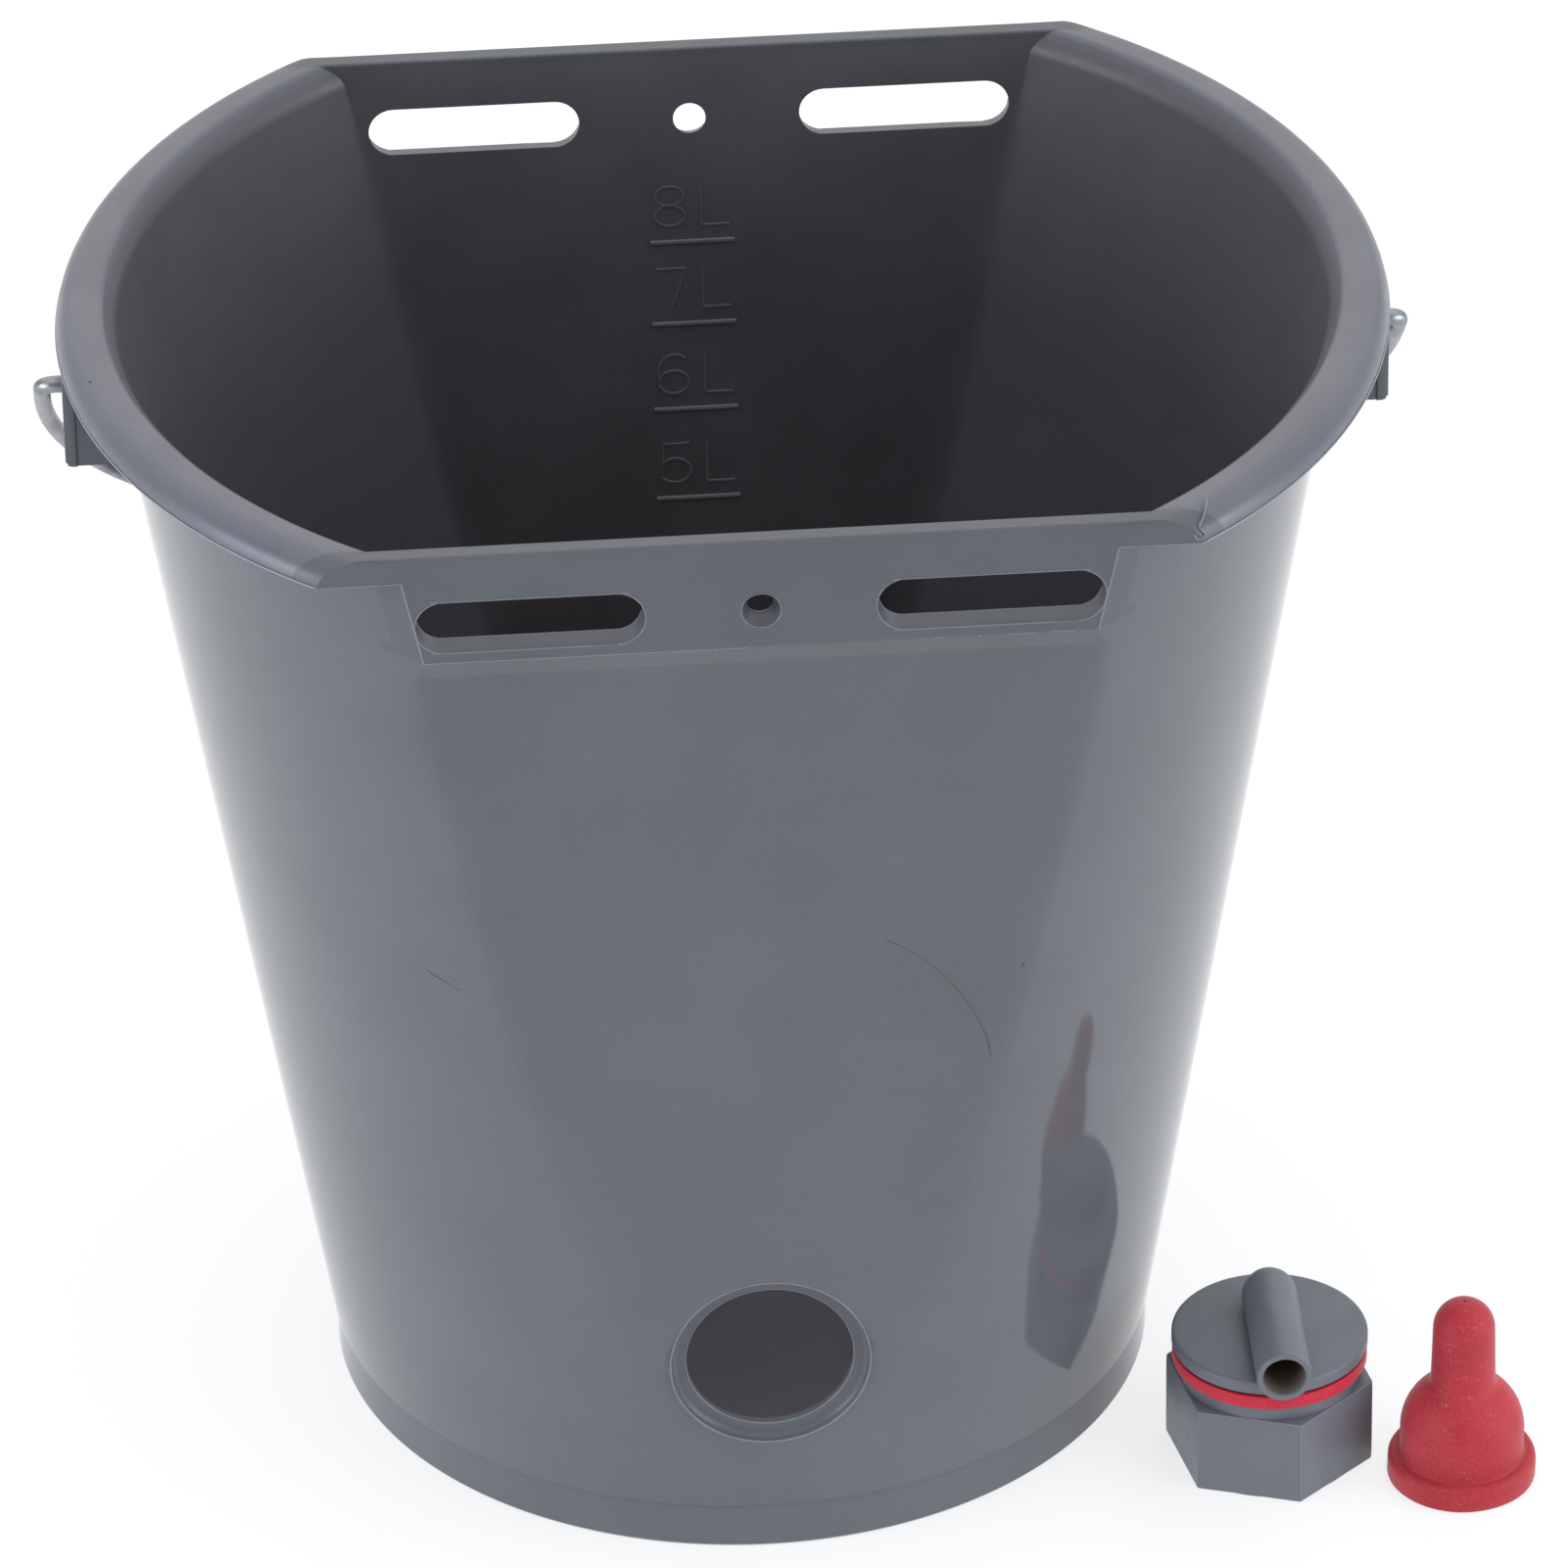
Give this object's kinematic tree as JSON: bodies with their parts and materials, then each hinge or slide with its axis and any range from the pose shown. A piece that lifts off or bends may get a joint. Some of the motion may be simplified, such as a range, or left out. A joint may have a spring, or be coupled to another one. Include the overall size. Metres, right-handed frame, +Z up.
{
  "type": "calf feeder bucket",
  "caption": "Round plastic calf feeding bucket with flat sides, hanging slots, teat port, litre marks and wire bail, beside its drinking valve and rubber teat.",
  "frame": {"origin": "on the floor, at the centre of the bucket's foot ring", "axes": "+Z up; -Y towards the drinking side with the teat port; +X to the right of someone facing that side from in front"},
  "size_m": [0.3335, 0.2323, 0.28],
  "materials": {
    "bucket_plastic": "satin",
    "wire": "galvanised",
    "valve_plastic": "matte",
    "seal_rubber": "matte",
    "ball_plastic": "gloss",
    "teat_rubber": "matte"
  },
  "bodies": {
    "bucket": {"bucket_body": "bucket_plastic"},
    "bail": {"bail_handle": "wire"},
    "nut": {"hex_nut": "valve_plastic"},
    "seal": {"valve_seal": "seal_rubber"},
    "valve": {"valve_body": "valve_plastic", "ball_retainer": "valve_plastic"},
    "ball": {"check_ball": "ball_plastic"},
    "teat": {"teat": "teat_rubber"}
  },
  "joints": [
    {"name": "bail_swing", "type": "hinge", "parent": "bucket", "child": "bail", "pos_m": [0, 0, 0.262], "axis": [1, 0, 0], "range_deg": [0, 269.9]},
    {"name": "nut_lift", "type": "slide", "parent": "bucket", "child": "nut", "axis": [0, 0, 1], "range_m": [0, 0.05]},
    {"name": "seal_rise", "type": "slide", "parent": "nut", "child": "seal", "axis": [0, 0, 1], "range_m": [0, 0.0181]},
    {"name": "valve_turn", "type": "hinge", "parent": "seal", "child": "valve", "pos_m": [0.11786, -0.06668, 0.0298], "axis": [0, 0, 1], "range_deg": [0, 2160]},
    {"name": "ball_travel", "type": "slide", "parent": "valve", "child": "ball", "axis": [0, 0, 1], "range_m": [0, 0.0033]},
    {"name": "teat_lift", "type": "slide", "parent": "bucket", "child": "teat", "axis": [0, 0, 1], "range_m": [0, 0.1]}
  ],
  "couplings": [
    {"joint": "seal_rise", "follows": "valve_turn", "m_per_rad": 0.00047746}
  ]
}
